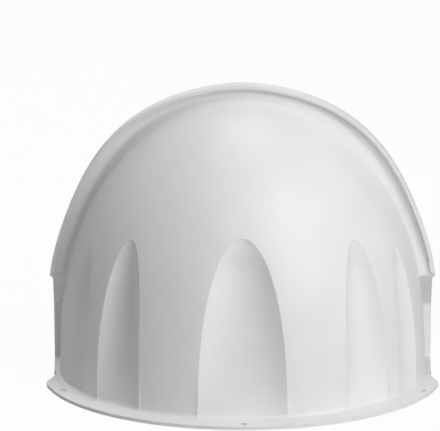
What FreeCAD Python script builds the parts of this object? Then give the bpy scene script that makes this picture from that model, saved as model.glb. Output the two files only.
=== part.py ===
import FreeCAD, Part
import math
import os

from FreeCAD import Vector

# Sun and rain hood for a wall-mounted camera, moulded in one piece.
# Millimetres. The wall is the plane Z = 0 and +Z points away from it.
# -Y is the side that faces the sky, and the hood is open towards +Y.
# The shapes are drawn about the dome's axis, X = Y = 0, and moved at the end.

# Dome: a half-round shell that closes over towards its crown
shell_radius = 140.0  # outside radius at the wall
shell_reach = 224.0  # height of the crown above the wall, if the dome were whole
crown_fullness = 2.4  # 2 gives an ellipse, more keeps the lower wall straighter
wall = 2.6

# Free edge, seen from the side: a short cheek, a slope and the long rim
cheek_drop = 38.0  # how far the cheeks hang below the dome's axis
cheek_length = 50.0  # flat lower edge of a cheek, along Z
cheek_bead = 3.4  # how far the bead on that edge stands out
cheek_bead_depth = 5.0
cheek_corner = 5.0
bend_height = 77.0  # where the slope of a cheek meets the rim
bend_drop = -7.6  # Y of the rim's top there
bend_corner = 14.0
rim_slope = 12.0  # degrees that the rim leans to the sky as it runs out

# Rim: a gutter between the dome and an upstanding band, with a skirt below
rim_side_reach = 7.0  # past the dome's side at the bend
rim_tip_reach = 6.1  # past the dome's crown, along the rim
skirt_depth = 13.0
band_width = 3.8
gutter_depth = 1.8
gutter_cove = 8.0

# Wall flange, on a circle of its own that lies nearer the sky
flange_thickness = 2.5
flange_reach = 13.0  # past the dome, less the shift
flange_shift = 5.5
flange_end = 16.0  # above the axis, where it has narrowed to the cheek's bead
flange_taper = 23.0  # degrees between its narrowing end and the cheek
flange_corner = 10.0
flange_foot = 2.5  # fillet between the flange and the dome

# Screw holes along the flange
hole_diameter = 6.0
hole_margin = 6.4  # centre to the flange's outer edge
side_hole_angle = 66.0

# Flutes pressed into the dome: angle round it, half width, height, turn of the floor
flutes = (
    (0.0, 32.4, 137.0, 20.0),
    (41.2, 21.2, 139.0, 34.0),
    (62.2, 15.6, 132.0, 30.0),
)
flute_fullness = 2.2

origin = Vector(0, 0, 0)
outward = Vector(0, 0, 1)
sideways = Vector(1, 0, 0)
far = 2.0 * (shell_radius + shell_reach)
deep = 0.25 * far
tolerance = 0.02

slope = math.radians(rim_slope)
rim_up = Vector(0, -math.sin(slope), math.cos(slope))
rim_sky = Vector(0, -math.cos(slope), -math.sin(slope))
bend = Vector(0, bend_drop, bend_height)
cheek_side = shell_radius + cheek_bead
rim_half_width = shell_radius + rim_side_reach
rim_rise = (shell_reach - bend_height) / math.cos(slope) + rim_tip_reach
flange_radius = shell_radius + flange_reach
hole_circle = flange_radius - hole_margin
side_hole_line = flange_shift + hole_circle * math.cos(math.radians(side_hole_angle))


def dome_radius(height):
    share = max(height, 0.0) / shell_reach
    return shell_radius * math.sqrt(1.0 - share ** crown_fullness)


def dome_curve(inset):
    """Superellipse from the wall to the crown."""
    steps = 12
    radius = shell_radius - inset
    crown = shell_reach - inset
    points = [Vector(radius, 0, 0)]
    for step in range(1, steps):
        turn = 0.5 * math.pi * step / steps
        height = crown * math.sin(turn) ** (2.0 / crown_fullness)
        points.append(Vector(radius * math.cos(turn), 0, height))
    points.append(Vector(0, 0, crown))
    curve = Part.BSplineCurve()
    curve.interpolate(Points=points, InitialTangent=outward, FinalTangent=-sideways)
    return curve.toShape()


def hood_form(inset, foot):
    """Half dome on the sky side with straight cheeks below it, closed, from Z = foot."""
    radius = shell_radius - inset
    edges = [
        dome_curve(inset),
        Part.makeLine(Vector(0, 0, shell_reach - inset), Vector(0, 0, foot)),
        Part.makeLine(Vector(0, 0, foot), Vector(radius, 0, foot)),
    ]
    if foot < 0:
        edges.append(Part.makeLine(Vector(radius, 0, foot), Vector(radius, 0, 0)))
    half = Part.Face(Part.Wire(Part.__sortEdges__(edges)))
    dome = half.revolve(origin, outward, -180)
    cheek = half.extrude(Vector(0, far, 0))
    other_cheek = cheek.mirror(origin, sideways)
    return dome.fuse([cheek, other_cheek]).removeSplitter()


def rounded_wire(corners):
    """Closed wire through points that are given with the radius of their corner."""
    edges = []
    starts = []
    ends = []
    count = len(corners)
    for index in range(count):
        point, radius = corners[index]
        if radius == 0:
            starts.append(point)
            ends.append(point)
            continue
        before = (corners[index - 1][0] - point).normalize()
        after = (corners[(index + 1) % count][0] - point).normalize()
        half = 0.5 * before.getAngle(after)
        middle = (before + after).normalize()
        centre = point + middle * (radius / math.sin(half))
        starts.append(point + before * (radius / math.tan(half)))
        ends.append(point + after * (radius / math.tan(half)))
        edges.append(Part.Arc(starts[-1], centre - middle * radius, ends[-1]).toShape())
    for index in range(count):
        edges.append(Part.makeLine(ends[index], starts[(index + 1) % count]))
    return Part.Wire(Part.__sortEdges__(edges))


def across(corners):
    """Outline in the side view, carried across the whole width."""
    shift = sideways * -far
    wire = rounded_wire([(point + shift, radius) for point, radius in corners])
    return Part.Face(wire).extrude(sideways * (2 * far))


def block_along_rim(start, side):
    """Half space beyond (side = 1) or before (side = -1) a place along the rim."""
    foot = bend + rim_up * start
    reach = rim_up * (side * far)
    sky = rim_sky * far
    return across([(foot - sky, 0), (foot + sky, 0), (foot + sky + reach, 0), (foot - sky + reach, 0)])


def lower_edge(foot):
    skirt_bend = bend - rim_sky * skirt_depth
    return [
        (Vector(0, cheek_drop, foot), 0),
        (Vector(0, cheek_drop, cheek_length), cheek_corner),
        (skirt_bend, bend_corner),
        (skirt_bend + rim_up * far, 0),
    ]


def above_lower_edge():
    sky = -2 * far
    return across(lower_edge(-far) + [(Vector(0, sky, far), 0), (Vector(0, sky, -far), 0)])


def edge_band():
    """Bead of the cheeks and skirt of the rim, in the side view."""
    bead_top = cheek_drop - cheek_bead_depth
    upper_edge = [
        (bend + rim_up * far, 0),
        (bend, bend_corner),
        (Vector(0, bead_top, cheek_length - cheek_bead_depth), cheek_corner),
        (Vector(0, bead_top, 0), 0),
    ]
    return across(lower_edge(0) + upper_edge)


def rim_arch(side, rise):
    """Half ellipse over the bend, in the plane of the rim."""
    tip = bend + rim_up * rise
    right = bend + sideways * side
    left = bend - sideways * side
    longer, shorter = (tip, right) if rise > side else (right, tip)
    oval = Part.Ellipse(longer, shorter, bend)
    first, last = sorted([oval.parameter(left), oval.parameter(right)])
    if first < oval.parameter(tip) < last:
        return Part.Edge(oval, first, last)
    return Part.Edge(oval, last, first + 2 * math.pi)


def rim_prism(inset, with_cheeks):
    """Front outline of the rim, carried through along the direction that the rim faces."""
    side = rim_half_width - inset
    corners = [bend + sideways * side, bend - sideways * side]
    if with_cheeks:
        step = side - cheek_side
        low = bend - rim_up * step
        foot = low - rim_up * far
        corners[1:1] = [low + sideways * cheek_side, foot + sideways * cheek_side,
                        foot - sideways * cheek_side, low - sideways * cheek_side]
    edges = [rim_arch(side, rim_rise - inset)]
    for start, end in zip(corners, corners[1:]):
        edges.append(Part.makeLine(start, end))
    outline = Part.Face(Part.Wire(Part.__sortEdges__(edges)))
    outline.translate(rim_sky * -far)
    return outline.extrude(rim_sky * (2 * far))


def coved_form(inset):
    """Dome standing on the floor of the gutter, with the cove between them."""
    floor = bend - rim_sky * (gutter_depth + inset)
    reach = rim_up * far
    under = floor - rim_sky * far
    ground = across([(floor - reach, 0), (floor + reach, 0), (under + reach, 0), (under - reach, 0)])
    whole = hood_form(inset, -deep).fuse(ground)
    cove_edges = []
    for edge in whole.Edges:
        samples = edge.discretize(7)
        on_floor = all(abs((point - floor).dot(rim_sky)) < tolerance for point in samples)
        on_dome = all(abs(point.x) < rim_half_width and point.z < shell_reach for point in samples)
        if on_floor and on_dome:
            cove_edges.append(edge)
    return whole.makeFillet(gutter_cove + inset, cove_edges)


def outer_form():
    prism = rim_prism(0, True)
    above = above_lower_edge()
    beyond = block_along_rim(0, 1)
    band = edge_band().common(prism)
    raised_band = band.common(beyond).cut(rim_prism(band_width, False))
    dome_and_gutter = coved_form(0).common(beyond).common(prism).common(above)
    foot = hood_form(0, 0).fuse(band).common(above).common(block_along_rim(0, -1))
    return dome_and_gutter.fuse([raised_band, foot]).removeSplitter()


def hollow_form():
    """The room inside, one wall smaller, running out through the wall side and the open side."""
    under_rim = coved_form(wall).common(block_along_rim(wall, 1)).common(rim_prism(band_width, False))
    foot = hood_form(wall, -deep).common(block_along_rim(wall, -1))
    return under_rim.fuse(foot).removeSplitter()


def flange_form():
    centre = Vector(0, -flange_shift, 0)
    disc = Part.makeCylinder(flange_radius, flange_thickness, centre)
    reach = far * math.tan(math.radians(flange_taper))
    outline = [
        Vector(cheek_side, cheek_drop, 0),
        Vector(cheek_side, -flange_end, 0),
        Vector(cheek_side + reach, -flange_end - far, 0),
    ]
    outline += [Vector(-point.x, point.y, 0) for point in reversed(outline)]
    face = Part.Face(Part.makePolygon(outline + outline[:1]))
    flange = disc.common(face.extrude(outward * flange_thickness))
    upright = []
    for edge in flange.Edges:
        first, last = edge.Vertexes[0].Point, edge.Vertexes[-1].Point
        if abs(first.z - last.z) > 0.5 * flange_thickness and first.y < 0.5 * cheek_drop:
            upright.append(edge)
    return flange.makeFillet(flange_corner, upright)


def flute_tool(flute, inset):
    """Bullet-shaped tool whose round section follows the dome's side up to its tip."""
    angle, half_width, height, turn = flute
    steps = 8
    turn = math.radians(turn)
    bearing = math.radians(angle - 90.0)
    foot = -2.0 * flange_thickness if inset > 0 else flange_thickness
    sections = []
    for step in range(steps + 1):
        rise = 0.5 * math.pi * step / steps
        z = (height + inset) * math.sin(rise) ** (2.0 / flute_fullness)
        spread = half_width * math.cos(rise)
        chord = math.sqrt(dome_radius(z) ** 2 - spread ** 2)
        reach = chord + spread / math.tan(turn)
        radius = spread / math.sin(turn) + inset * math.cos(rise)
        centre = Vector(reach * math.cos(bearing), reach * math.sin(bearing), z)
        if step == 0:
            centre.z = foot
        if step == steps:
            sections.append(Part.Vertex(centre))
        else:
            sections.append(Part.Wire(Part.makeCircle(radius, centre, outward)))
    tool = Part.makeLoft(sections, True)
    if inset == 0:
        ring = [edge for edge in tool.Edges if abs(edge.BoundBox.ZMax - foot) < tolerance]
        tool = tool.makeFillet(flange_foot, ring[:1])
    return tool


def flute_tools(inset):
    tools = []
    for flute in flutes:
        tool = flute_tool(flute, inset)
        tools.append(tool)
        if flute[0] > 0:
            tools.append(tool.mirror(origin, sideways))
    return tools


def hole_tools():
    tools = []
    for angle in (-side_hole_angle, 0.0, side_hole_angle):
        turn = math.radians(angle)
        across_flange = hole_circle * math.sin(turn)
        down_flange = -flange_shift - hole_circle * math.cos(turn)
        start = Vector(across_flange, down_flange, -flange_thickness)
        tools.append(Part.makeCylinder(0.5 * hole_diameter, 3 * flange_thickness, start))
    return tools


def foot_fillet(body):
    """Fillet where the dome and the cheeks stand on the flange."""
    reach = shell_radius + tolerance
    lowest = cheek_drop - cheek_bead_depth + tolerance
    edges = []
    for edge in body.Edges:
        samples = edge.discretize(5)
        flat = all(abs(point.z - flange_thickness) < tolerance for point in samples)
        at_dome = all(math.hypot(point.x, min(point.y, 0)) < reach and point.y < lowest for point in samples)
        if flat and at_dome and edge.Length > cheek_bead:
            edges.append(edge)
    return body.makeFillet(flange_foot, edges)


body = foot_fillet(outer_form().fuse(flange_form()).removeSplitter())
body = body.cut(flute_tools(0))
hollow = hollow_form().cut(flute_tools(wall))
sun_shield = body.cut([hollow] + hole_tools()).Solids[0]

# The part's own frame starts midway between the side holes
sun_shield.translate(Vector(0, side_hole_line, 0))

os.makedirs("parts", exist_ok=True)
sun_shield.exportStep("parts/sun_shield.step")
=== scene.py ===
import math

import bpy
import numpy as np
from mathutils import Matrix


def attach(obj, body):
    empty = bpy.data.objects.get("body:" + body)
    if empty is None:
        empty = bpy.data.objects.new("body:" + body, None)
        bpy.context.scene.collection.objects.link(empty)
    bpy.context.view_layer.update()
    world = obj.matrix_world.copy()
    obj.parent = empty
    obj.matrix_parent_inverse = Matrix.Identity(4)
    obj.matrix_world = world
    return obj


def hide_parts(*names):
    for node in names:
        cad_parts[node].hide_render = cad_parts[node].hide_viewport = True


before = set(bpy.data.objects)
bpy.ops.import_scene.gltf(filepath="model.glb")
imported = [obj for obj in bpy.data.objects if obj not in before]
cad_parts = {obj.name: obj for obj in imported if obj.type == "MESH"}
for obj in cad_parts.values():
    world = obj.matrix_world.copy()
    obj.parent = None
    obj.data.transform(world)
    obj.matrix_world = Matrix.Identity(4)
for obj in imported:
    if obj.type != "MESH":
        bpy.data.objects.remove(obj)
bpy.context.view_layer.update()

print("frame loaded:", sorted(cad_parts))

perMetre = 1000  # the hood's own values are in millimetres


def linearColour(hexText):
    # the sRGB curve undone for each channel, with an alpha of 1
    channels = np.array([int(hexText[i:i + 2], 16) / 255 for i in (1, 3, 5)])
    low = channels / 12.92
    high = ((channels + 0.055) / 1.055) ** 2.4
    return tuple(float(v) for v in np.where(channels <= 0.04045, low, high)) + (1.0,)


def addNode(tree, kind, settings=None, inputs=None, links=None):
    # a node with its settings, its fixed inputs and the sockets that feed it. An input goes by its name,
    # or by its number where two inputs share a name.
    node = tree.nodes.new(kind)
    for name, value in (settings or {}).items():
        setattr(node, name, value)
    for name, value in (inputs or {}).items():
        node.inputs[name].default_value = value
    for name, socket in (links or {}).items():
        tree.links.new(socket, node.inputs[name])
    return node


def newMaterial(name):
    material = bpy.data.materials.new(name)
    material.use_nodes = True
    material.node_tree.nodes.clear()
    return material, material.node_tree


def addObject(name, data):
    made = bpy.data.objects.new(name, data)
    bpy.context.collection.objects.link(made)
    return made


def smoothMesh(name, points, faces):
    mesh = bpy.data.meshes.new(name)
    mesh.from_pydata(points.tolist(), [], faces.tolist())
    mesh.polygons.foreach_set("use_smooth", np.ones(len(faces), dtype=bool))
    return mesh


# Camera: a long lens from a little above, with the hood right of the middle
view = {
    "aim": (0.0, 0.0651, 0.1219),  # on the dome's axis, about half way up
    "distance": 1.902,
    "elevation": 12.05,  # degrees
    "lens": 204.5,
    "sensor": 36.0,
    "sideShift": -0.0514,  # share of the picture's width
    "clipEnd": 50.0,
}

rise = math.radians(view["elevation"])
aim = np.array(view["aim"])
cameraData = bpy.data.cameras.new("camera")
cameraData.lens = view["lens"]
cameraData.sensor_width = view["sensor"]
cameraData.shift_x = view["sideShift"]
cameraData.clip_end = view["clipEnd"]
camera = addObject("camera", cameraData)
camera.location = aim + view["distance"] * np.array([0.0, -math.cos(rise), math.sin(rise)])
camera.rotation_euler = (math.pi / 2 - rise, 0.0, 0.0)
bpy.context.scene.camera = camera
print("camera placed")


# Moulded ABS: a white satin skin with a very fine spark-eroded grain and a slow ripple
plastic = {
    "colour": "#EEEEED",
    "shade": "#EAEAE9",  # where the pigment lies a little thinner
    "ior": 1.54,
    "roughness": (0.42, 0.50),
    "grainSize": 0.0009,  # metres; the real grain is about 0.1 mm, drawn coarser to show
    "grainDetail": 1.0,
    "grainSpread": (0.3, 0.7),  # values of the noise that give the two ends of the roughness
    "grainDepth": 0.000006,
    "rippleSize": 0.045,
    "rippleDetail": 2.0,
    "rippleSpread": (0.35, 0.65),  # values of the noise that give the shade and the colour
    "rippleDepth": 0.00004,
}


def mouldedAbs(look):
    # two noises on the hood's own coordinates: the ripple moves tone and height, the grain moves gloss
    # and height
    material, tree = newMaterial("moulded_abs_white")
    place = addNode(tree, "ShaderNodeTexCoord").outputs["Object"]
    ripple, grain = [addNode(tree, "ShaderNodeTexNoise", links={"Vector": place},
                             inputs={"Scale": 1 / look[size], "Detail": look[detail]}).outputs["Fac"]
                     for size, detail in (("rippleSize", "rippleDetail"), ("grainSize", "grainDetail"))]
    tone = addNode(tree, "ShaderNodeValToRGB", links={"Fac": ripple})
    ends = zip(tone.color_ramp.elements, look["rippleSpread"], (look["shade"], look["colour"]))
    for stop, position, colour in ends:
        stop.position = position
        stop.color = linearColour(colour)
    gloss = addNode(tree, "ShaderNodeMapRange", links={"Value": grain},
                    inputs={"From Min": look["grainSpread"][0], "From Max": look["grainSpread"][1],
                            "To Min": look["roughness"][0], "To Max": look["roughness"][1]})
    slow = addNode(tree, "ShaderNodeBump", inputs={"Strength": 1.0, "Distance": look["rippleDepth"]},
                   links={"Height": ripple})
    fine = addNode(tree, "ShaderNodeBump", inputs={"Strength": 1.0, "Distance": look["grainDepth"]},
                   links={"Height": grain, "Normal": slow.outputs["Normal"]})
    skin = addNode(tree, "ShaderNodeBsdfPrincipled", inputs={"IOR": look["ior"]},
                   links={"Base Color": tone.outputs["Color"], "Roughness": gloss.outputs["Result"],
                          "Normal": fine.outputs["Normal"]})
    addNode(tree, "ShaderNodeOutputMaterial", links={"Surface": skin.outputs["BSDF"]})
    return material


# Hood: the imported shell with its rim, flutes and cheeks eased into their last shape.
# Lengths are in millimetres from the dome's axis and the wall, and angles and bearings in degrees.
hood = {
    "axisY": 65.128,  # where the dome's axis stands in the part's frame
    "radius": 140.0,
    "crown": 224.0,
    "fullness": 2.4,  # power of the dome's superellipse

    # the rim's plane, and how the rim draws in
    "bend": (-7.6, 77.0),  # Y and Z where the cheeks' slope meets the rim
    "rimSlope": 12.0,
    "rimSide": 147.0,  # half width of its arch
    "rimLength": 156.4,  # reach of the arch from the bend
    "rimEase": (0.0155, 0.0240, 0.0185, 0.0070),  # how far it draws in round its arch, as shares of it
    "smallestRing": 0.1,  # keeps the slide from dividing by nothing at the arch's middle
    "domeEdge": (0.885, -0.038, -0.012),  # share of it where the dome ends, and its change round the arch

    # the band, the gutter and the skirt
    "band": 3.8,  # width as packed
    "slimBand": 2.5,  # width as drawn
    "bandTilt": 1.5,  # the band falls this far towards its outer edge
    "gutterSink": 2.2,  # how much deeper the floor gets
    "gutterFloor": 1.8,  # depth at which a point is all floor
    "gutterStart": 0.02,  # share of the rim over which the floor begins
    "gutterLap": 0.5,  # the floor runs this far under the band's inner edge
    "skirt": (5.0, 0.25),  # below this depth the skirt keeps this share of its length
    "skirtLead": 20.0,  # band, gutter and skirt change in full this far from the bend

    # the cheeks' bead and the flange
    "cheekBead": (140.5, 143.4, 152.0),  # X of the cheek's side, its bead and a place on the flange
    "beadReach": 1.6,  # the bead stands out further by this at the axis
    "beadFlare": 0.065,  # and by this more for each millimetre towards the open side
    "beadStart": 10.0,  # it begins over this way, up to where the flange is narrow
    "bendGap": 0.5,  # and ends this far before the bend
    "flangeEnd": (-48.0, -22.0),  # Y between which the flange narrows to the bead
    "flangeHeight": 30.0,  # nothing above this is flange

    # each flute's bearing, half width at the wall, height of its tip and turn
    "flutes": ((0.0, 32.4, 137.0, 20.0), (41.2, 21.2, 139.0, 34.0), (62.2, 15.6, 132.0, 30.0)),
    "fluteFullness": 2.2,  # power of the superellipse in which a flute narrows
    "fluteTop": 0.999,  # share of the tip's height up to which it narrows
    "fluteFill": (0.75, 45.0),  # share of a flute's depth that fills up at the wall, and up to what height
    "fluteSink": (0.45, 20.0, 90.0),  # share that it gains above, and the heights over which it gains it
    "sinkEnd": (6.0, 18.0),  # the gain ends this far below the tips and dies out over this way
    "footRoom": 6.0,  # past a flute's floor the shift dies out over this much more than its depth
    "leastReach": 1.0,  # least length that the formulas take near the axis

    # how the tips come down
    "tipFall": 6.7,
    "tips": ((16.0, 12.0, 8.9), (50.5, 4.5, 7.8)),  # from this bearing, over this span, by this more
    "tipHeight": 136.0,  # where the fall is greatest
    "tipFade": 64.0,  # above the tips the fall dies out over this way
    "fallStart": 3.0,  # height just above the flange, where it begins
    "rimRoom": (18.0, 20.0),  # the dome keeps its shape this near to the rim, then changes over this way

    # the mesh
    "longestEdge": 7.0,
    "mergeGrid": 1e6,  # steps to the metre in which points are told apart
    "slopeStep": 2e-5,  # metres to each side when a slope is taken
}


def ease(values):
    # zero below 0, one above 1, and 3t^2 - 2t^3 between
    t = np.clip(values, 0.0, 1.0)
    return t * t * (3.0 - 2.0 * t)


def domeRadius(z):
    # superellipse: the radius falls to nothing at the crown
    share = np.clip(z / hood["crown"], 0.0, 1.0)
    return hood["radius"] * np.sqrt(1.0 - share ** hood["fullness"])


def rimPlace(x, along):
    # where a point lies in the rim's arch: its angle, its share of the way out to the rim, that share at
    # the dome's edge as a sum of sines of the angle, and the whole way out, which goes from the side's to
    # the top's with the square of the sine
    out = np.maximum(along, 0.0)
    angle = np.arctan2(out / hood["rimLength"], np.abs(x) / hood["rimSide"])
    ring = np.hypot(out / hood["rimLength"], x / hood["rimSide"])
    start, swell, skew = hood["domeEdge"]
    inner = start + swell * np.sin(2 * angle) + skew * np.sin(4 * angle)
    span = hood["rimSide"] + (hood["rimLength"] - hood["rimSide"]) * np.sin(angle) ** 2
    return angle, ring, inner, span


def slideIn(angle, ring, inner, span, gap, lead):
    # what is left of a point's way out: past the dome's edge the rim draws in by a sum of sines of the
    # angle, and the band's inner edge goes out
    first, second, third, fourth = hood["rimEase"]
    pull = (first * np.sin(angle) ** 2 + second * np.sin(2 * angle) + third * np.sin(4 * angle)
            + fourth * np.sin(6 * angle))
    inGutter = ease((ring - inner) / (1.0 - hood["band"] / span - inner))
    slim = (hood["band"] - hood["slimBand"]) / span * inGutter * np.clip(gap / hood["band"], 0.0, 1.0)
    pull = pull * inGutter - slim * lead
    return 1.0 - pull / np.maximum(ring, hood["smallestRing"])


def riseBy(ring, inner, gap, above):
    # how far points rise: the skirt gets shorter, while the band falls outwards in a straight line and
    # the gutter's floor sinks
    depth, keep = hood["skirt"]
    lowered = np.where(above < -depth, -depth + (above + depth) * keep, above)
    tilt = hood["bandTilt"] * np.clip(1.0 - gap / hood["band"], 0.0, 1.0)
    past = np.clip((ring - inner) / hood["gutterStart"], 0.0, 1.0)
    past = past * (gap > hood["band"] - hood["gutterLap"])
    sink = hood["gutterSink"] * past * ease(-above / hood["gutterFloor"])
    return lowered - above - tilt - sink


def easeRim(x, y, z):
    # points are turned into the rim's plane, where they slide along rays from the bend's middle and move
    # above or below the plane, and are turned back
    slope = math.radians(hood["rimSlope"])
    fromY, fromZ = y - hood["bend"][0], z - hood["bend"][1]
    along = -fromY * math.sin(slope) + fromZ * math.cos(slope)
    above = -fromY * math.cos(slope) - fromZ * math.sin(slope)
    angle, ring, inner, span = rimPlace(x, along)
    gap = (1.0 - ring) * span  # how far inside the rim's edge
    lead = ease(along / hood["skirtLead"])
    scale = np.where(along > 0, slideIn(angle, ring, inner, span, gap, lead), 1.0)
    newAlong = along * scale
    newAbove = above + riseBy(ring, inner, gap, above) * lead
    newY = hood["bend"][0] - newAlong * math.sin(slope) - newAbove * math.cos(slope)
    newZ = hood["bend"][1] + newAlong * math.cos(slope) - newAbove * math.sin(slope)
    return x * scale, newY, newZ, along, above


def fluteDepth(bearing, z, flute):
    # the dome's radius less the flute's own arc: an arc of constant turn across a width that narrows
    # to the tip as a superellipse
    at, halfWidth, tip, turn = flute
    radius = domeRadius(z)
    turn = math.radians(turn)
    narrowing = np.clip(z / tip, 0.0, hood["fluteTop"]) ** hood["fluteFullness"]
    wide = halfWidth * np.sqrt(1.0 - narrowing)
    centre = np.sqrt(np.maximum(radius ** 2 - wide ** 2, hood["leastReach"] ** 2)) + wide / math.tan(turn)
    off = np.radians(bearing - at)
    root = np.sqrt(np.maximum((wide / math.sin(turn)) ** 2 - (centre * np.sin(off)) ** 2, 0.0))
    inside = (np.abs(radius * np.sin(off)) < wide) & (z < tip)
    return np.where(inside, np.maximum(radius - (centre * np.cos(off) - root), 0.0), 0.0)


def fluteShift(bearing, reach, z):
    # how far points move out: a share of the flute's depth, which fills up towards the wall as a square
    # and sinks above it. It holds in full on the flute's floor and dies out further from the axis.
    depth = sum(fluteDepth(bearing, z, flute) for flute in hood["flutes"])
    spare = hood["footRoom"]
    hold = np.clip((domeRadius(z) + spare - reach) / (depth + spare), 0.0, 1.0)
    fill, fillHeight = hood["fluteFill"]
    sink, sinkLow, sinkHigh = hood["fluteSink"]
    endGap, endFade = hood["sinkEnd"]
    begun = ease((z - sinkLow) / (sinkHigh - sinkLow))
    left = ease((hood["tipHeight"] - endGap - z) / endFade)
    share = fill * np.clip(1.0 - z / fillHeight, 0.0, 1.0) ** 2 - sink * begun * left
    return depth * share * hold


def easeFlutes(x, y, z, above):
    # the flutes' shift, and then a slide down along the dome that grows in a line up to the tips and dies
    # out above them as a cosine
    bearing = np.degrees(np.arctan2(np.abs(x), -y))
    reach = np.hypot(x, y)
    top = hood["tipHeight"]
    keep, change = hood["rimRoom"]
    near = ease((above - keep) / change) * (y < 0)
    shift = fluteShift(bearing, reach, z) * near
    fall = sum((drop * ease((bearing - at) / span) for at, span, drop in hood["tips"]), hood["tipFall"])
    rising = np.clip((z - hood["fallStart"]) / (top - hood["fallStart"]), 0.0, 1.0)
    fading = 0.5 * (1.0 + np.cos(math.pi * np.clip((z - top) / hood["tipFade"], 0.0, 1.0)))
    newZ = z - fall * rising * fading * near
    scale = (reach + shift + domeRadius(newZ) - domeRadius(z)) / np.maximum(reach, hood["leastReach"])
    return x * scale, y * scale, newZ


def easeCheeks(x, y, z, along):
    # the bead along the cheeks' edge stands out further in a straight line, up to the bend, and the
    # flange narrows to it
    side = np.abs(x)
    wide, narrow = hood["flangeEnd"]
    flare = hood["beadReach"] + hood["beadFlare"] * y
    share = (along < -hood["bendGap"]) * ease((y - narrow + hood["beadStart"]) / hood["beadStart"])
    side = side + flare * share * np.interp(side, hood["cheekBead"], [0.0, 1.0, 0.0])
    past = np.maximum(side - hood["cheekBead"][1] - flare, 0.0) * (z < hood["flangeHeight"])
    return np.sign(x) * (side - past * ease((y - wide) / (narrow - wide))), y, z


def reshape(points):
    # metres in the part's frame to millimetres from the dome's axis, through all changes, and back
    x, y, z = points[:, 0] * perMetre, points[:, 1] * perMetre - hood["axisY"], points[:, 2] * perMetre
    x, y, z, along, above = easeRim(x, y, z)
    x, y, z = easeFlutes(x, y, z, above)
    x, y, z = easeCheeks(x, y, z, along)
    return np.stack([x, y + hood["axisY"], z], axis=-1) / perMetre


def packedTriangles(source):
    # the corners of each triangle and the normals there
    points = np.empty(len(source.vertices) * 3)
    source.vertices.foreach_get("co", points)
    order = np.empty(len(source.loops), dtype=int)
    source.loops.foreach_get("vertex_index", order)
    normals = np.empty(len(source.loops) * 3)
    source.corner_normals.foreach_get("vector", normals)
    return points.reshape(-1, 3)[order].reshape(-1, 3, 3), normals.reshape(-1, 3, 3)


def splitLong(corners, normals, longest):
    # each triangle whose longest edge is too long is cut at that edge's middle, until none is left
    while True:
        edges = np.linalg.norm(corners - np.roll(corners, -1, axis=1), axis=2)
        side = edges.argmax(axis=1)
        long = edges.max(axis=1) > longest
        if not long.any():
            return corners, normals
        rows = np.arange(len(corners))[long, None]
        turn = (side[long, None] + np.arange(3)) % 3
        halves = []
        for values in (corners, normals):
            ordered = values[rows, turn]
            middle = 0.5 * (ordered[:, :1] + ordered[:, 1:2])
            first = np.concatenate([ordered[:, :1], middle, ordered[:, 2:]], axis=1)
            second = np.concatenate([middle, ordered[:, 1:]], axis=1)
            halves.append(np.concatenate([values[~long], first, second]))
        corners, normals = halves


def mergeCorners(corners, normals):
    # corners that fall on one step of the grid become one point, and triangles with two such corners go
    corners = corners.reshape(-1, 3)
    _, first, merged = np.unique(np.round(corners * hood["mergeGrid"]).astype(int), axis=0,
                                 return_index=True, return_inverse=True)
    faces = merged.reshape(-1, 3)
    whole = (faces[:, 0] != faces[:, 1]) & (faces[:, 1] != faces[:, 2]) & (faces[:, 2] != faces[:, 0])
    return corners[first], faces[whole], normals[whole].reshape(-1, 3)


def turnNormals(points, faces, normals):
    # the three slopes of the reshape at each point, crossed in pairs, carry a normal to the new surface
    step = hood["slopeStep"]
    alongX, alongY, alongZ = [(reshape(points + step * axis) - reshape(points - step * axis)) / (2 * step)
                              for axis in np.eye(3)]
    turned = np.stack([np.cross(alongY, alongZ), np.cross(alongZ, alongX), np.cross(alongX, alongY)],
                      axis=-1)
    normals = np.einsum("nij,nj->ni", turned[faces.reshape(-1)], normals)
    return normals / np.linalg.norm(normals, axis=1, keepdims=True)


def hoodMesh(source):
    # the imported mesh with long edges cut, its points merged and reshaped, and its normals turned to match
    corners, normals = packedTriangles(source)
    corners, normals = splitLong(corners, normals, hood["longestEdge"] / perMetre)
    points, faces, normals = mergeCorners(corners, normals)
    mesh = smoothMesh("hoodShell", reshape(points), faces)
    mesh.normals_split_custom_set(turnNormals(points, faces, normals).tolist())
    return mesh


shell = addObject("hoodShell", hoodMesh(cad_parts["sun_shield"].data))
shell.data.materials.append(mouldedAbs(plastic))
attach(shell, "root")
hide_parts("sun_shield")
print("shell finished in moulded ABS:", len(shell.data.polygons), "faces")


# Backdrop: a white sweep that lies under the hood and turns up far behind it, in metres
sweep = {
    "front": -4.0,
    "back": 4.5,
    "turn": 1.5,  # radius of the turn between floor and wall
    "turnPoints": 25,
    "height": 4.0,
    "halfWidth": 5.0,
    "acrossPoints": 3,
    "lit": "#C8C8C8",  # what the lamps light, kept low so that little light comes back up
    "own": "#FFFFFF",  # the white that only the camera sees
    "ownShare": 0.96,  # share of that white in what the camera sees, the rest is lit
}


def sweepSurface(size):
    # floor, quarter circle and wall as one profile in Y and Z, carried straight along X
    turn = np.linspace(0.0, math.pi / 2, size["turnPoints"])
    profileY = np.concatenate([[size["front"]], size["back"] + size["turn"] * np.sin(turn),
                               [size["back"] + size["turn"]]])
    profileZ = np.concatenate([[0.0], size["turn"] * (1 - np.cos(turn)), [size["height"]]])
    sides = np.linspace(-size["halfWidth"], size["halfWidth"], size["acrossPoints"])
    x, y = np.meshgrid(sides, profileY, indexing="ij")
    z = np.broadcast_to(profileZ, y.shape)
    points = np.stack([x, y, z], axis=-1).reshape(-1, 3)
    index = np.arange(y.size).reshape(y.shape)
    faces = np.stack([index[:-1, :-1], index[1:, :-1], index[1:, 1:], index[:-1, 1:]], axis=-1)
    return smoothMesh("backdrop", points, faces.reshape(-1, 4))


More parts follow.
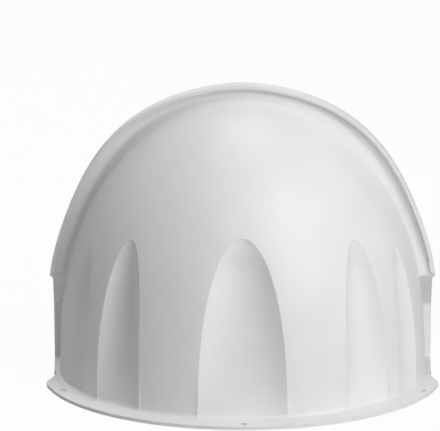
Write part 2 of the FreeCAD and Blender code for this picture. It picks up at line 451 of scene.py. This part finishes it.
def backdropPaper(look):
    # matt paper: the lamps light all of it, and the camera sees it mostly as an even white
    material, tree = newMaterial("matt_white_backdrop")
    path = addNode(tree, "ShaderNodeLightPath")
    share = addNode(tree, "ShaderNodeMath", {"operation": "MULTIPLY"}, inputs={1: look["ownShare"]},
                    links={0: path.outputs["Is Camera Ray"]})
    lit = addNode(tree, "ShaderNodeBsdfDiffuse", inputs={"Color": linearColour(look["lit"])})
    own = addNode(tree, "ShaderNodeEmission",
                  inputs={"Color": linearColour(look["own"]), "Strength": 1.0})
    both = addNode(tree, "ShaderNodeMixShader",
                   links={"Fac": share.outputs["Value"], 1: lit.outputs["BSDF"],
                          2: own.outputs["Emission"]})
    addNode(tree, "ShaderNodeOutputMaterial", links={"Surface": both.outputs["Shader"]})
    return material


backdrop = addObject("backdrop", sweepSurface(sweep))
backdrop.data.materials.append(backdropPaper(sweep))
print("backdrop laid")


# Lamps: soft boxes round the hood, all turned to the camera's aim. Bearing is in degrees from the
# camera's side, right positive, height in degrees above level, and size and distance in metres.
lamps = {
    "keyBox": {"bearing": 40, "height": 27, "size": (1.4, 2.0), "watts": 36.0},
    "sideBox": {"bearing": 75, "height": 15, "size": (1.0, 1.4), "watts": 4.5},
    "frontBox": {"bearing": -10, "height": 32, "size": (1.0, 1.8), "watts": 6.0},
    "topBox": {"bearing": 0, "height": 89, "size": (1.2, 1.2), "watts": 19.5},
    "leftBox": {"bearing": -110, "height": 28, "size": (1.0, 1.4), "watts": 5.5},
    "rimBox": {"bearing": -150, "height": 34, "size": (1.0, 1.8), "watts": 11.5},
    "backBox": {"bearing": 180, "height": 40, "size": (1.2, 1.2), "watts": 5.0},
}
lampDistance = 2.4


def softBox(name, box):
    bearing = math.radians(box["bearing"])
    height = math.radians(box["height"])
    away = np.array([math.cos(height) * math.sin(bearing), -math.cos(height) * math.cos(bearing),
                     math.sin(height)])
    lampData = bpy.data.lights.new(name, "AREA")
    lampData.shape = "RECTANGLE"
    lampData.size, lampData.size_y = box["size"]
    lampData.energy = box["watts"]
    lamp = addObject(name, lampData)
    lamp.location = aim + lampDistance * away
    lamp.rotation_euler = (math.pi / 2 - height, 0.0, bearing)


for name, box in lamps.items():
    softBox(name, box)


# Room: its white lights the hood a very little, and the camera sees it in full past the backdrop
room = {"colour": "#FFFFFF", "strength": 0.02, "seen": 1.0}


def paintRoom(look):
    studio = bpy.data.worlds.new("studio")
    studio.use_nodes = True
    tree = studio.node_tree
    tree.nodes.clear()
    path = addNode(tree, "ShaderNodeLightPath")
    level = addNode(tree, "ShaderNodeMapRange", links={"Value": path.outputs["Is Camera Ray"]},
                    inputs={"To Min": look["strength"], "To Max": look["seen"]})
    white = addNode(tree, "ShaderNodeBackground", inputs={"Color": linearColour(look["colour"])},
                    links={"Strength": level.outputs["Result"]})
    addNode(tree, "ShaderNodeOutputWorld", links={"Surface": white.outputs["Background"]})
    return studio


bpy.context.scene.world = paintRoom(room)
bpy.context.scene.view_settings.view_transform = "Standard"
print("lamps set")
